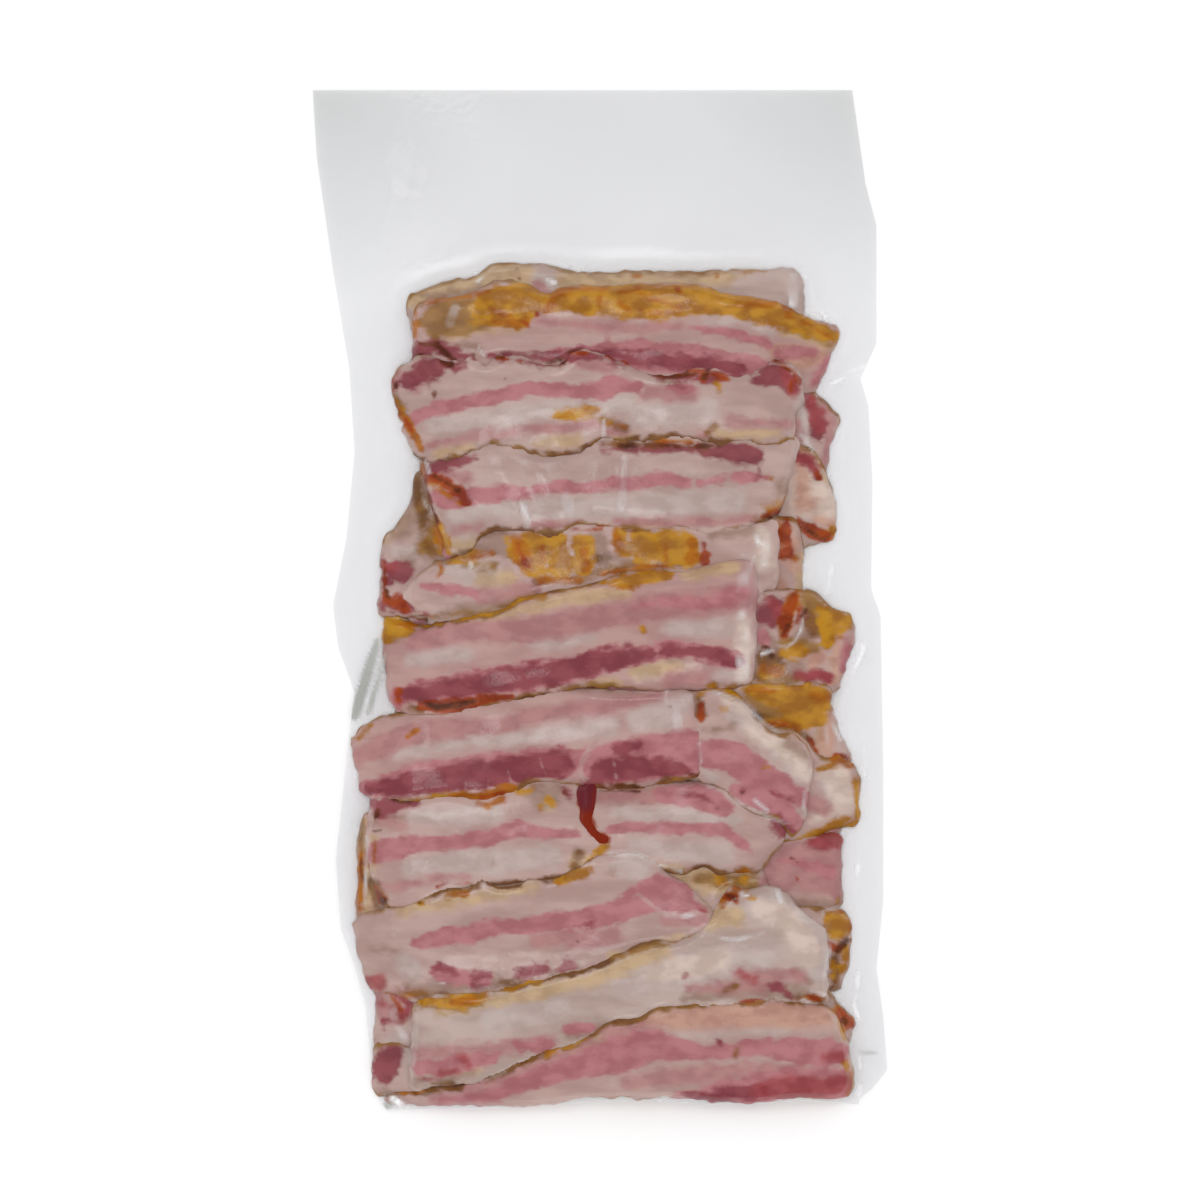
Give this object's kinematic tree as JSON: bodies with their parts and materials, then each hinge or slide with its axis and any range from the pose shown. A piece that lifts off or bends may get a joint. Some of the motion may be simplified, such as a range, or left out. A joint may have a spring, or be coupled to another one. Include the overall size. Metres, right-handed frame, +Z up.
{
  "type": "bacon pack",
  "caption": "Clear vacuum pouch drawn tight over shingled rows of thick-cut streaky bacon, lying flat, with an empty stretch of film at its mouth.",
  "frame": {"origin": "middle of the pack's outline, on the surface that it lies on", "axes": "+Y along the pack towards its empty mouth, +X across it to the right as seen from above, +Z up out of the side that shows"},
  "size_m": [0.2129, 0.378, 0.0237],
  "materials": {
    "film_over_bacon": "clear gloss film tight over streaky bacon",
    "film": "clear gloss film, slightly milky where it is empty",
    "bacon": "moist cured pork, pink lean and off-white fat"
  },
  "bodies": {
    "root": {"sealed_pouch": "film_over_bacon"}
  },
  "joints": []
}
